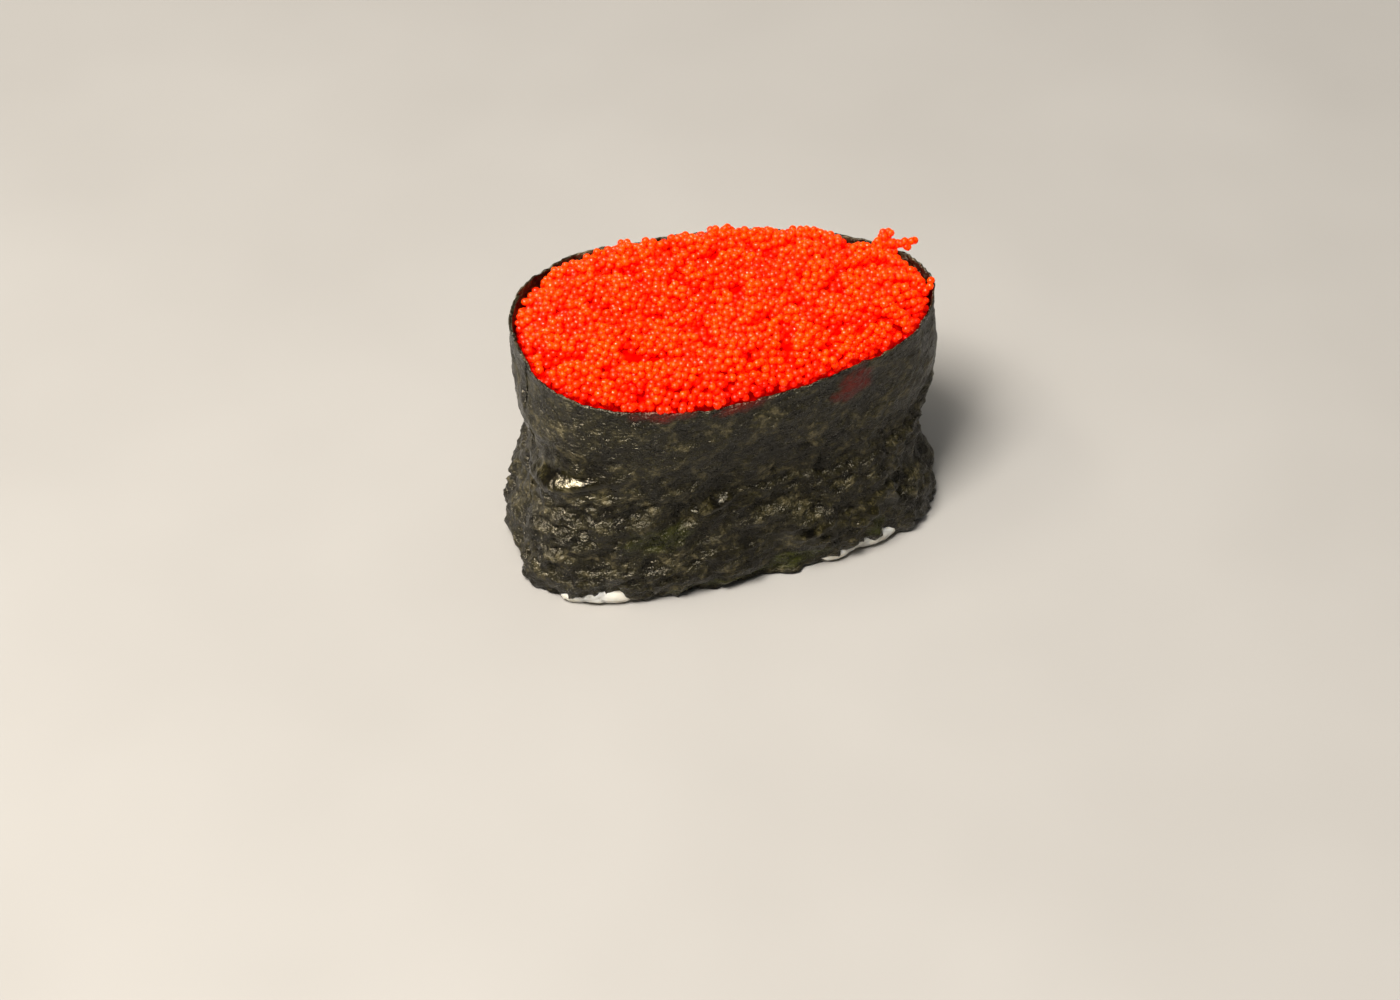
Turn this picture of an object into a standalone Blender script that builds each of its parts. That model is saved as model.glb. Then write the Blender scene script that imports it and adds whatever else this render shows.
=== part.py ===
"""Smelt roe gunkan: a pad of sushi rice, a band of seaweed round it, and a heap of roe in the cup above.

Blender 4.5, metres, +Z up. The long axis lies along X, and the origin is the middle of the footprint.
"""

import math
import random

import bmesh
import bpy
from mathutils import Vector, noise

MM = 0.001

# The band, from its lower edge to its rim. The rice squares the foot, and the soft roe leaves the rim an oval.
BAND_HEIGHT = 31.0 * MM
RIM_HALF_LENGTH = 25.6 * MM
RIM_HALF_WIDTH = 15.0 * MM
FOOT_HALF_LENGTH = 27.4 * MM
FOOT_HALF_WIDTH = 15.0 * MM
RIM_EXPONENT = 2.25
FOOT_EXPONENT = 3.4
RIM_EGG = 0.18  # how much narrower the +X half of the rim is than the -X half
FOOT_EGG = 0.01
FOOT_SKEW = 2.0 * MM  # how far the front of the foot is pushed towards -X, and the back towards +X
RIM_SHIFT_Y = 0.6 * MM
WAIST_DEPTH = 1.2 * MM
WAIST_HEIGHT = 0.54  # of the band's height, where the rice ends and the roe starts
WAIST_SPREAD = 0.25
FOOT_TUCK = 0.7 * MM
FOOT_TUCK_SPREAD = 0.055
RIM_TILT = 1.2 * MM  # the rim is this much higher at the -X end than in the middle

# The seaweed itself, and where the outer end of the strip lies over the inner one.
SHEET_THICKNESS = 0.4 * MM
CLEARANCE = 0.3 * MM
SEAM_ANGLE = math.radians(188)
SEAM_OVERLAP = math.radians(34)
SEAM_RAMP = math.radians(14)
STRIP_COLUMNS = 80
STRIP_ROWS = 10
WRINKLE_DEPTH = 0.35 * MM
WRINKLE_SIZE = 9.0 * MM

# The crumpled -X end, where the band sags over the shoulder of the rice in a ledge.
LEDGE_ANGLE = math.radians(206)
LEDGE_SPREAD = math.radians(30)
LEDGE_DEPTH = 0.9 * MM
LEDGE_HEIGHT = 0.57
LEDGE_SOFTNESS = 0.04

# The lower edge of the band, which rides up over the grains in two places at the front.
EDGE_HEIGHT = 0.5 * MM
EDGE_WAVE = 0.35 * MM
EDGE_WAVES = 5  # round the whole edge
RICE_GAPS = (  # middle angle, half spread, and rise of the edge
    (math.radians(241), math.radians(13), 1.5 * MM),
    (math.radians(301), math.radians(12), 1.5 * MM),
)

# Rice, pressed into a pad.
RICE_HEIGHT = 18.0 * MM
GRAIN_LENGTH = 6.0 * MM
GRAIN_WIDTH = 2.7 * MM
GRAIN_COUNT = 36
GRAIN_REACH = 0.35 * MM  # how far a grain stands out of the pad's foot
GRAIN_FLATNESS = 0.9  # its height as a share of its width
GRAIN_SIZE_RANGE = (0.88, 1.1)
GRAIN_HEIGHT_RANGE = (0.30, 0.42)  # of its width: below half, so that its underside is pressed flat
GRAIN_TURN = 0.25  # radians either way from lying along the pad's side
GRAIN_TILT = 0.08
GRAIN_STEP_SHAKE = 0.2  # of the step from one grain to the next
GRAIN_LEVEL = 0.1  # the share of the band's height where the grains follow the side
PAD_SEGMENTS = 56
PAD_LEVELS = 6
PAD_INSET = 0.15 * MM  # keeps the pad clear of the cutter that trims the grains
SLEEVE_WALL = 8.0 * MM
SLEEVE_ROWS = 4

# Roe, heaped above the rim. A capelin egg is just under a millimetre across.
EGG_DIAMETER = 0.95 * MM
BUMP_SPACING = 1.3 * MM
BUMP_HEIGHT = 0.45 * MM
BUMP_RANGE = (0.7, 1.3)
BUMP_SHAKE = 0.12  # of the grid's pitch
RELIEF_MARGIN = 3.0 * MM  # how far the bumpy block reaches past the rim before it is trimmed
DOME_HEIGHT = 4.0 * MM
SHOULDER_POWER = 7.0
CORNER_DIP = 2.4 * MM  # at two places at the back the heap ends below the rim, and the band's inside shows
CORNERS = ((math.radians(16), 0.33), (math.radians(138), 0.36))  # angle, and spread in radians
LUMP_DEPTH = 0.55 * MM
LUMP_SIZE = 5.0 * MM
LUMP_OCTAVES = 3
ROE_SEGMENTS = 88
ROE_LEVELS = 6
HEAP_CEILING = 12.0 * MM  # above the rim, and clear of the heap's top

# Stray eggs at the back of the +X end: a crest that stands on the rim, and a branch that leans out of it.
CREST_ANGLE = math.radians(30)
CREST_INSET = 1.3 * MM
CREST_SINK = 0.4 * MM
CREST_WAY = Vector((0.1, 0.2, 3.3)) * MM
CREST_EGGS = 18
CREST_SPREAD = (0.62 * MM, 0.3 * MM)  # at its root and at its tip
BRANCH_START = Vector((0.2, 0.1, 1.9)) * MM
BRANCH_WAY = Vector((3.1, -0.4, -0.3)) * MM
BRANCH_EGGS = 11
BRANCH_SPREAD = (0.3 * MM, 0.3 * MM)
STRAY_SIZE = 1.2  # a few-sided egg is drawn this much larger, to hold a true egg's volume
SHADE_ANGLE = math.radians(40)
WELD = 0.01 * MM
SEED = 7


def smooth_step(value):
    """0 below 0, 1 above 1, and an S curve between."""
    value = min(1.0, max(0.0, value))
    return value * value * (3 - 2 * value)


def bump(value, middle, spread):
    """A bell curve of height 1."""
    return math.exp(-(((value - middle) / spread) ** 2))


def angle_between(first, second):
    """The unsigned angle from one direction to another."""
    return abs((first - second + math.pi) % (2 * math.pi) - math.pi)


def blend(low, high, share):
    return low + (high - low) * share


def oval(angle, half_length, half_width, exponent, egg):
    """A point of a superellipse whose +X half is narrowed by egg."""
    cosine, sine = math.cos(angle), math.sin(angle)
    along = math.copysign(abs(cosine) ** (2 / exponent), cosine)
    across = math.copysign(abs(sine) ** (2 / exponent), sine)
    return Vector((half_length * along, half_width * across * (1 - egg * along)))


def side_relief(angle, share):
    """How far the side stands out of the plain loft at this share of the band's height, in metres."""
    waist = -WAIST_DEPTH * bump(share, WAIST_HEIGHT, WAIST_SPREAD)
    tuck = -FOOT_TUCK * bump(share, 0.0, FOOT_TUCK_SPREAD)
    near_ledge = bump(angle_between(angle, LEDGE_ANGLE), 0.0, LEDGE_SPREAD)
    below = smooth_step(0.5 + (LEDGE_HEIGHT - share) / (2 * LEDGE_SOFTNESS))
    fading = smooth_step(share / LEDGE_HEIGHT)
    ledge = LEDGE_DEPTH * near_ledge * below * fading
    return waist + tuck + ledge


def rim_height(x):
    """The band's height at this distance along the long axis."""
    return BAND_HEIGHT + RIM_TILT * smooth_step(-x / RIM_HALF_LENGTH)


def side_point(angle, share, outward=0.0):
    """A point of the band's inner face, moved outward. Above a share of 1 the side goes straight up."""
    held = min(1.0, max(0.0, share))
    square = smooth_step(held)
    flat = Vector((FOOT_SKEW * (1 - square) * math.sin(angle), 0.0)) + oval(
        angle,
        blend(FOOT_HALF_LENGTH, RIM_HALF_LENGTH, square),
        blend(FOOT_HALF_WIDTH, RIM_HALF_WIDTH, square),
        blend(FOOT_EXPONENT, RIM_EXPONENT, square),
        blend(FOOT_EGG, RIM_EGG, square),
    )
    out = flat.normalized()
    wrinkle = WRINKLE_DEPTH * noise.noise(
        Vector((flat.x, flat.y, share * BAND_HEIGHT)) / WRINKLE_SIZE
    )
    flat += out * (side_relief(angle, held) + wrinkle + outward)
    return Vector(
        (flat.x, flat.y + RIM_SHIFT_Y * square, share * rim_height(flat.x))
    )


def edge_height(angle):
    """The height of the band's lower edge above the plate."""
    rise = sum(
        lift * bump(angle_between(angle, middle), 0.0, spread)
        for middle, spread, lift in RICE_GAPS
    )
    wave = EDGE_WAVE * (1 + math.sin(EDGE_WAVES * angle)) / 2
    return EDGE_HEIGHT + wave + rise


def material(name, colour, roughness):
    """A Principled material of one colour."""
    made = bpy.data.materials.new(name)
    made.use_nodes = True
    shader = made.node_tree.nodes["Principled BSDF"]
    shader.inputs["Base Color"].default_value = (*colour, 1.0)
    shader.inputs["Roughness"].default_value = roughness
    shader.inputs["Metallic"].default_value = 0.0
    return made


def new_object(name, mesh_maker, home, finish=None):
    """An object whose mesh is the bmesh that mesh_maker returns."""
    mesh = bpy.data.meshes.new(name)
    made = mesh_maker()
    made.to_mesh(mesh)
    made.free()
    thing = bpy.data.objects.new(name, mesh)
    home.objects.link(thing)
    if finish:
        mesh.materials.append(finish)
    mesh.shade_smooth()
    mesh.set_sharp_from_angle(angle=SHADE_ANGLE)
    return thing


def helper(thing):
    """Keeps a cutter or a joining piece out of the render."""
    thing.hide_render = True
    thing.display_type = "WIRE"
    return thing


def apply_modifiers(thing):
    """Makes the evaluated shape the object's own mesh."""
    graph = bpy.context.evaluated_depsgraph_get()
    baked = bpy.data.meshes.new_from_object(thing.evaluated_get(graph))
    thing.modifiers.clear()
    thing.data = baked


def remove(things):
    for thing in list(things):
        bpy.data.objects.remove(thing)


def boolean(thing, operation, other=None, collection=None):
    """Adds and applies one exact Boolean with an object or a collection."""
    modifier = thing.modifiers.new(operation.title(), "BOOLEAN")
    modifier.operation = operation
    modifier.solver = "EXACT"
    if collection:
        modifier.operand_type = "COLLECTION"
        modifier.collection = collection
    else:
        modifier.object = other
    apply_modifiers(thing)


def keep_outer_surface(thing):
    """Keeps the longest connected surface: loose scraps go, and hollows that the joining sealed are filled."""
    work = bmesh.new()
    work.from_mesh(thing.data)
    groups, seen = [], set()
    for start in work.verts:
        if start in seen:
            continue
        group, waiting = [], [start]
        seen.add(start)
        while waiting:
            vertex = waiting.pop()
            group.append(vertex)
            for edge in vertex.link_edges:
                other = edge.other_vert(vertex)
                if other not in seen:
                    seen.add(other)
                    waiting.append(other)
        groups.append(group)
    groups.sort(key=lambda group: max(v.co.x for v in group) - min(v.co.x for v in group))
    scraps = [vertex for group in groups[:-1] for vertex in group]
    bmesh.ops.delete(work, geom=scraps, context="VERTS")
    work.to_mesh(thing.data)
    work.free()


def strip_offset(angle):
    """How far out a layer lies. The outer end of the strip climbs over the inner one."""
    climb = (angle - (SEAM_ANGLE + 2 * math.pi - SEAM_OVERLAP - SEAM_RAMP)) / SEAM_RAMP
    return (SHEET_THICKNESS + CLEARANCE) * smooth_step(climb)


def wrapped_strip():
    """The seaweed strip: a flat grid wound once round the rice and on over its own start."""
    first, last = SEAM_ANGLE - SEAM_OVERLAP, SEAM_ANGLE + 2 * math.pi
    made = bmesh.new()
    bmesh.ops.create_grid(
        made, x_segments=STRIP_COLUMNS, y_segments=STRIP_ROWS, size=0.5
    )
    for vertex in made.verts:
        angle = blend(first, last, vertex.co.x + 0.5)
        lowest = edge_height(angle) / BAND_HEIGHT
        share = blend(lowest, 1.0, vertex.co.y + 0.5)
        vertex.co = side_point(angle, share, strip_offset(angle))
    bmesh.ops.recalc_face_normals(made, faces=made.faces)
    return made


def make_band(home):
    """The seaweed band, a sheet with its thickness outside the wound surface."""
    band = new_object(
        "nori_band", wrapped_strip, home, material("nori", (0.022, 0.024, 0.014), 0.45)
    )
    wall = band.modifiers.new("Sheet", "SOLIDIFY")
    wall.thickness = SHEET_THICKNESS
    wall.offset = outward_sign(band)
    wall.use_even_offset = True
    return band


def outward_sign(thing):
    """1 if the mesh's normals point away from the Z axis, and -1 if they point towards it."""
    facing = sum(
        face.normal.to_2d().dot(face.center.to_2d()) for face in thing.data.polygons
    )
    return 1.0 if facing > 0 else -1.0


def plug(bottom, top, outward, segments, levels):
    """A closed solid that fills the inside of the band between two heights."""
    made = bmesh.new()
    bmesh.ops.create_cone(
        made, cap_ends=True, segments=segments, radius1=1, radius2=1, depth=1
    )
    upright = [
        edge for edge in made.edges if abs(edge.verts[0].co.z - edge.verts[1].co.z) > 0.5
    ]
    bmesh.ops.subdivide_edges(made, edges=upright, cuts=levels - 1)
    for vertex in made.verts:
        angle = math.atan2(vertex.co.y, vertex.co.x)
        height = blend(bottom, top, vertex.co.z + 0.5)
        point = side_point(angle, height / BAND_HEIGHT, outward)
        vertex.co = Vector((point.x, point.y, height))
    return made


def grain(place, turn, tilt, length, width):
    """One cooked grain, a low ellipsoid whose underside is pressed flat on the plate."""
    made = bmesh.new()
    bmesh.ops.create_icosphere(made, subdivisions=1, radius=0.5)
    rotate = Vector((math.cos(turn), math.sin(turn), tilt)).to_track_quat("X", "Z")
    for vertex in made.verts:
        scaled = Vector(
            (
                vertex.co.x * length,
                vertex.co.y * width,
                vertex.co.z * width * GRAIN_FLATNESS,
            )
        )
        vertex.co = place + rotate @ scaled
        vertex.co.z = max(0.0, vertex.co.z)
    bmesh.ops.remove_doubles(made, verts=made.verts, dist=WELD)
    return made


def foot_grains(home):
    """Grains round the foot of the pad, lying along it and pressed into it."""
    rng = random.Random(SEED)
    step = 2 * math.pi / GRAIN_COUNT
    for number in range(GRAIN_COUNT):
        angle = step * (number + rng.uniform(-GRAIN_STEP_SHAKE, GRAIN_STEP_SHAKE))
        width = GRAIN_WIDTH * rng.uniform(*GRAIN_SIZE_RANGE)
        length = GRAIN_LENGTH * rng.uniform(*GRAIN_SIZE_RANGE)
        foot = side_point(angle, GRAIN_LEVEL, GRAIN_REACH - width / 2)
        place = Vector((foot.x, foot.y, width * rng.uniform(*GRAIN_HEIGHT_RANGE)))
        ahead = side_point(angle + step, GRAIN_LEVEL) - side_point(
            angle - step, GRAIN_LEVEL
        )
        turn = math.atan2(ahead.y, ahead.x) + rng.uniform(-GRAIN_TURN, GRAIN_TURN)
        tilt = rng.uniform(-GRAIN_TILT, GRAIN_TILT)
        helper(
            new_object(
                f"grain_{number}",
                lambda: grain(place, turn, tilt, length, width),
                home,
            )
        )


def sleeve():
    """The band's inner face down to its lower edge, the start of the tube that trims the grains."""
    made = bmesh.new()
    bmesh.ops.create_grid(
        made, x_segments=PAD_SEGMENTS, y_segments=SLEEVE_ROWS, size=0.5
    )
    for vertex in made.verts:
        angle = 2 * math.pi * (vertex.co.x + 0.5)
        lowest = (edge_height(angle) - CLEARANCE) / BAND_HEIGHT
        share = blend(lowest, 1.0, vertex.co.y + 0.5)
        vertex.co = side_point(angle, share, -CLEARANCE)
    bmesh.ops.remove_doubles(made, verts=made.verts, dist=WELD)
    bmesh.ops.recalc_face_normals(made, faces=made.faces)
    return made


def make_rice(home, helpers):
    """The pressed pad with its grains fused on at the foot, cut back to lie inside the band."""
    rice = new_object(
        "rice_pad",
        lambda: plug(
            0.0, RICE_HEIGHT, -CLEARANCE - PAD_INSET, PAD_SEGMENTS, PAD_LEVELS
        ),
        home,
        material("sushi rice", (0.78, 0.77, 0.71), 0.4),
    )
    foot_grains(helpers)
    boolean(rice, "UNION", collection=helpers)
    remove(helpers.objects)
    cutter = helper(new_object("sleeve", sleeve, helpers))
    wall = cutter.modifiers.new("Wall", "SOLIDIFY")
    wall.thickness = SLEEVE_WALL
    wall.offset = outward_sign(cutter)
    apply_modifiers(cutter)
    boolean(rice, "DIFFERENCE", other=cutter)
    remove([cutter])
    keep_outer_surface(rice)
    return rice


def centre_share(x, y):
    """0 in the middle of the rim's oval and 1 on the band's inner face."""
    angle = math.atan2(
        (y - RIM_SHIFT_Y) / RIM_HALF_WIDTH, x / RIM_HALF_LENGTH
    )
    edge = side_point(angle, 1.0)
    return math.hypot(x, y - RIM_SHIFT_Y) / math.hypot(edge.x, edge.y - RIM_SHIFT_Y)


def roe_height(x, y):
    """The top of the heap without its single eggs: a steep-sided dome with soft lumps and dipped corners."""
    out = min(1.0, centre_share(x, y))
    dome = DOME_HEIGHT * (1 - out**SHOULDER_POWER)
    angle = math.atan2(y / RIM_HALF_WIDTH, x / RIM_HALF_LENGTH)
    dip = CORNER_DIP * out**6 * sum(
        bump(angle_between(angle, middle), 0.0, spread) for middle, spread in CORNERS
    )
    lumps = LUMP_DEPTH * noise.fractal(
        Vector((x, y, 0)) / LUMP_SIZE, 0.8, 2.0, LUMP_OCTAVES
    )
    return rim_height(x) + dome - dip + lumps


def relief_block():
    """A block whose top is a close-packed field of bumps, one to an egg."""
    rng = random.Random(SEED)
    pitch = BUMP_SPACING / math.sqrt(3)
    row_pitch = pitch * math.sqrt(3) / 2
    columns = round(2 * (RIM_HALF_LENGTH + RELIEF_MARGIN) / pitch)
    rows = round(2 * (RIM_HALF_WIDTH + RELIEF_MARGIN) / row_pitch)
    made = bmesh.new()
    bmesh.ops.create_grid(made, x_segments=columns, y_segments=rows, size=0.5)
    for vertex in made.verts:
        column = round((vertex.co.x + 0.5) * columns)
        row = round((vertex.co.y + 0.5) * rows)
        peak = (column - row // 2 - row) % 3 == 0
        x = (column - columns / 2 + 0.5 * (row % 2)) * pitch
        y = (row - rows / 2) * row_pitch
        x += rng.uniform(-BUMP_SHAKE, BUMP_SHAKE) * pitch
        y += rng.uniform(-BUMP_SHAKE, BUMP_SHAKE) * pitch
        lift = BUMP_HEIGHT * (rng.uniform(*BUMP_RANGE) if peak else 0.0)
        vertex.co = Vector((x, y, roe_height(x, y) + lift))
    bmesh.ops.triangulate(made, faces=made.faces, quad_method="SHORT_EDGE")
    bmesh.ops.recalc_face_normals(made, faces=made.faces)
    if sum(face.normal.z for face in made.faces) < 0:
        bmesh.ops.reverse_faces(made, faces=made.faces)
    rim = [edge for edge in made.edges if edge.is_boundary]
    skirt = bmesh.ops.extrude_edge_only(made, edges=rim)["geom"]
    low = [item for item in skirt if isinstance(item, bmesh.types.BMVert)]
    for vertex in low:
        vertex.co.z = RICE_HEIGHT
    bmesh.ops.contextual_create(
        made, geom=[e for e in made.edges if e.is_boundary]
    )
    bmesh.ops.recalc_face_normals(made, faces=made.faces)
    return made


def stray_egg(place):
    made = bmesh.new()
    bmesh.ops.create_icosphere(
        made, subdivisions=1, radius=EGG_DIAMETER / 2 * STRAY_SIZE
    )
    for vertex in made.verts:
        vertex.co += place
    return made


def stray_places():
    """The middles of the stray eggs, loosest at the crest's root."""
    rng = random.Random(SEED)
    root = side_point(CREST_ANGLE, 1.0, -CREST_INSET)
    root.z = roe_height(root.x, root.y) - CREST_SINK
    rows = (
        (root, CREST_WAY, CREST_EGGS, CREST_SPREAD),
        (root + BRANCH_START, BRANCH_WAY, BRANCH_EGGS, BRANCH_SPREAD),
    )
    for start, way, count, spread in rows:
        for number in range(count):
            share = number / (count - 1)
            loose = blend(*spread, share)
            shake = Vector([rng.uniform(-1, 1) for _ in range(3)]) * loose
            yield start + way * share + shake


def make_roe(home, helpers):
    """The heap of roe: the cup of the band filled, a bumpy top, and the crest of stray eggs fused on."""
    roe = new_object(
        "roe_heap",
        relief_block,
        home,
        material("smelt roe", (0.90, 0.09, 0.01), 0.25),
    )
    inside = helper(
        new_object(
            "inside",
            lambda: plug(
                RICE_HEIGHT + CLEARANCE,
                BAND_HEIGHT + HEAP_CEILING,
                -CLEARANCE,
                ROE_SEGMENTS,
                ROE_LEVELS,
            ),
            helpers,
        )
    )
    boolean(roe, "INTERSECT", other=inside)
    remove([inside])
    for number, place in enumerate(stray_places()):
        helper(new_object(f"egg_{number}", lambda: stray_egg(place), helpers))
    boolean(roe, "UNION", collection=helpers)
    remove(helpers.objects)
    keep_outer_surface(roe)
    return roe


def stand_on_origin(things):
    """Moves everything so that the footprint's middle is the origin and the foot is at zero."""
    bpy.context.view_layer.update()
    corners = [
        thing.matrix_world @ Vector(corner)
        for thing in things
        for corner in thing.bound_box
    ]
    low = Vector(min(c[axis] for c in corners) for axis in range(3))
    high = Vector(max(c[axis] for c in corners) for axis in range(3))
    for thing in things:
        thing.location -= Vector(((low.x + high.x) / 2, (low.y + high.y) / 2, low.z))


def main():
    for old in list(bpy.data.objects):
        bpy.data.objects.remove(old)
    sushi = bpy.data.collections.new("roe_gunkan")
    helpers = bpy.data.collections.new("helpers")
    bpy.context.scene.collection.children.link(sushi)
    bpy.context.scene.collection.children.link(helpers)
    rice = make_rice(sushi, helpers)
    band = make_band(sushi)
    roe = make_roe(sushi, helpers)
    stand_on_origin([rice, band, roe])


main()
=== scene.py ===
# %% [markdown]
# A smelt roe gunkan: one oval mouthful of sushi rice in an upright band of seaweed, with fish eggs
# heaped on top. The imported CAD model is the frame. It gives the size and the place of each piece,
# and this script gives the looks: a crumpled seaweed sheet, a heap of some thousands of single
# eggs, and the rice grains that peep out underneath.

# %% Load the frame
import math
import random

import bmesh
import bpy
from mathutils import Euler, Matrix, Vector, noise


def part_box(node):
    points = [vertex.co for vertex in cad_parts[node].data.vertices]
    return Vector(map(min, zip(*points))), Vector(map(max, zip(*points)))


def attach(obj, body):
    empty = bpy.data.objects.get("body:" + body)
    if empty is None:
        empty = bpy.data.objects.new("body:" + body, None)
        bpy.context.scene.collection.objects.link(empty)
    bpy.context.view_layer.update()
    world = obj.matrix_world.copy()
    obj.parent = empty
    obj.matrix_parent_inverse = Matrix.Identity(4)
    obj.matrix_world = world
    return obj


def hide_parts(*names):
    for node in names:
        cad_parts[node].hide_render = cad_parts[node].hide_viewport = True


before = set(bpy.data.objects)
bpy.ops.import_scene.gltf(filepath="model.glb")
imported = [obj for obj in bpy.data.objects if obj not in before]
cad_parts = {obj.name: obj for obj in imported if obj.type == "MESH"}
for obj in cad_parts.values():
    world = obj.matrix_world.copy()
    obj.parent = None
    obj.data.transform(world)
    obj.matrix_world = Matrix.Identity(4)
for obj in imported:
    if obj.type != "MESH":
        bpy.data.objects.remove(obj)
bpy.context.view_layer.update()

MM = 0.001
BAND_LOW, BAND_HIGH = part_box("nori_band")
RICE_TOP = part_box("rice_pad")[1].z

# %% [markdown]
# Small helpers come first: an S curve, a bell curve, a blend and the angle between two directions.
# They shape every surface below, so each form is a formula and can be followed by the pieces that
# lie against it.

# %% Curves for shaping
def smooth_step(value):
    """0 below 0, 1 above 1, and an S curve between."""
    value = min(1.0, max(0.0, value))
    return value * value * (3 - 2 * value)


def bump(value, middle, spread):
    """A bell curve of height 1."""
    return math.exp(-(((value - middle) / spread) ** 2))


def blend(low, high, share):
    return low + (high - low) * share


def angle_between(first, second):
    """The unsigned angle from one direction to another."""
    return abs((first - second + math.pi) % (2 * math.pi) - math.pi)


print("half way along the S curve:", smooth_step(0.5))
print("one spread off the bell's middle:", round(bump(1, 0, 1), 3))

# %% [markdown]
# The band is a loft between two ovals. The rice squares the foot, and the soft roe leaves the rim
# egg-shaped. The numbers are the piece's driving sizes, the same as those of the CAD solids. One
# function gives any point of the band's inner face from an angle round the piece and a share of its
# height, so that seaweed, rice and roe all follow one form and meet without gaps.

# %% The band's form
BAND_HEIGHT = 31.0 * MM
RIM_HALF_LENGTH = 25.6 * MM
RIM_HALF_WIDTH = 15.0 * MM
FOOT_HALF_LENGTH = 27.4 * MM
FOOT_HALF_WIDTH = 15.0 * MM
RIM_EXPONENT = 2.25
FOOT_EXPONENT = 3.4
RIM_EGG = 0.18
FOOT_EGG = 0.01
FOOT_SKEW = 2.0 * MM
RIM_SHIFT_Y = 0.6 * MM
WAIST_DEPTH = 1.2 * MM
WAIST_HEIGHT = 0.54
WAIST_SPREAD = 0.25
FOOT_TUCK = 0.7 * MM
FOOT_TUCK_SPREAD = 0.055
RIM_TILT = 1.2 * MM
WRINKLE_DEPTH = 0.35 * MM
WRINKLE_SIZE = 9.0 * MM
LEDGE_ANGLE = math.radians(206)
LEDGE_SPREAD = math.radians(30)
LEDGE_DEPTH = 0.9 * MM
LEDGE_HEIGHT = 0.57
LEDGE_SOFTNESS = 0.04
SHEET_ROOM = 0.4 * MM  # the CAD sheet's thickness
CLEARANCE = 0.3 * MM
SEAM_ANGLE = math.radians(188)
SEAM_OVERLAP = math.radians(34)
SEAM_RAMP = math.radians(14)


def oval(angle, half_length, half_width, exponent, egg):
    """A point of a superellipse whose +X half is narrowed by egg."""
    cosine, sine = math.cos(angle), math.sin(angle)
    along = math.copysign(abs(cosine) ** (2 / exponent), cosine)
    across = math.copysign(abs(sine) ** (2 / exponent), sine)
    return Vector((half_length * along, half_width * across * (1 - egg * along)))


def rim_height(x):
    return BAND_HEIGHT + RIM_TILT * smooth_step(-x / RIM_HALF_LENGTH)


def ledge_relief(angle, share):
    """The sag of the band over the rice's shoulder at the -X end."""
    near = bump(angle_between(angle, LEDGE_ANGLE), 0.0, LEDGE_SPREAD)
    below = smooth_step(0.5 + (LEDGE_HEIGHT - share) / (2 * LEDGE_SOFTNESS))
    return LEDGE_DEPTH * near * below * smooth_step(share / LEDGE_HEIGHT)


def form_point(angle, share, outward=0.0):
    """A point of the band's inner face in the part's own frame, moved outward."""
    held = min(1.0, max(0.0, share))
    square = smooth_step(held)
    flat = Vector((FOOT_SKEW * (1 - square) * math.sin(angle), 0.0)) + oval(
        angle,
        blend(FOOT_HALF_LENGTH, RIM_HALF_LENGTH, square),
        blend(FOOT_HALF_WIDTH, RIM_HALF_WIDTH, square),
        blend(FOOT_EXPONENT, RIM_EXPONENT, square),
        blend(FOOT_EGG, RIM_EGG, square),
    )
    wrinkle = WRINKLE_DEPTH * noise.noise(
        Vector((flat.x, flat.y, share * BAND_HEIGHT)) / WRINKLE_SIZE
    )
    waist = -WAIST_DEPTH * bump(held, WAIST_HEIGHT, WAIST_SPREAD)
    tuck = -FOOT_TUCK * bump(held, 0.0, FOOT_TUCK_SPREAD)
    relief = waist + tuck + ledge_relief(angle, held) + wrinkle + outward
    flat += flat.normalized() * relief
    return Vector((flat.x, flat.y + RIM_SHIFT_Y * square, share * rim_height(flat.x)))


def cad_climb(angle):
    """How far out a layer of the CAD strip lies. Its outer end climbs over its inner one."""
    climb = (angle - (SEAM_ANGLE + 2 * math.pi - SEAM_OVERLAP - SEAM_RAMP)) / SEAM_RAMP
    return (SHEET_ROOM + CLEARANCE) * smooth_step(climb)


# %% [markdown]
# The CAD model stands with the middle of its footprint on the origin. The form above is moved by
# the same amount, found by measuring its own outer face and comparing that with the band's box in
# the frame.

# %% Set the form on the frame
MEASURE_STEPS = 160
MEASURE_LEVELS = 11
FIRST_ANGLE = SEAM_ANGLE - SEAM_OVERLAP
LAST_ANGLE = SEAM_ANGLE + 2 * math.pi


def measured_middle():
    """The middle of the form's outer face, seen from above."""
    points = []
    for step in range(MEASURE_STEPS + 1):
        angle = blend(FIRST_ANGLE, LAST_ANGLE, step / MEASURE_STEPS)
        for level in range(MEASURE_LEVELS):
            share = level / (MEASURE_LEVELS - 1)
            points.append(form_point(angle, share, SHEET_ROOM + cad_climb(angle)))
    xs, ys = [p.x for p in points], [p.y for p in points]
    return Vector(((min(xs) + max(xs)) / 2, (min(ys) + max(ys)) / 2, 0))


FRAME_SHIFT = Vector(((BAND_LOW + BAND_HIGH) / 2).to_2d().to_3d()) - measured_middle()
print("the form is moved by, mm:", [round(value / MM, 3) for value in FRAME_SHIFT])


def side_point(angle, share, outward=0.0):
    """A point of the band's inner face in the frame, moved outward."""
    return form_point(angle, share, outward) + FRAME_SHIFT


# %% [markdown]
# Two helpers build every material. The first turns an sRGB hex colour, as a paint program shows it,
# into the linear numbers that Blender calculates with. The second adds one node, with its settings
# and its links.

# %% Helpers for materials
def linear(code):
    """The linear RGBA of an sRGB hex colour."""
    parts = [int(code[place : place + 2], 16) / 255 for place in (1, 3, 5)]
    return (*[p / 12.92 if p <= 0.04045 else ((p + 0.055) / 1.055) ** 2.4 for p in parts], 1.0)


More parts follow.
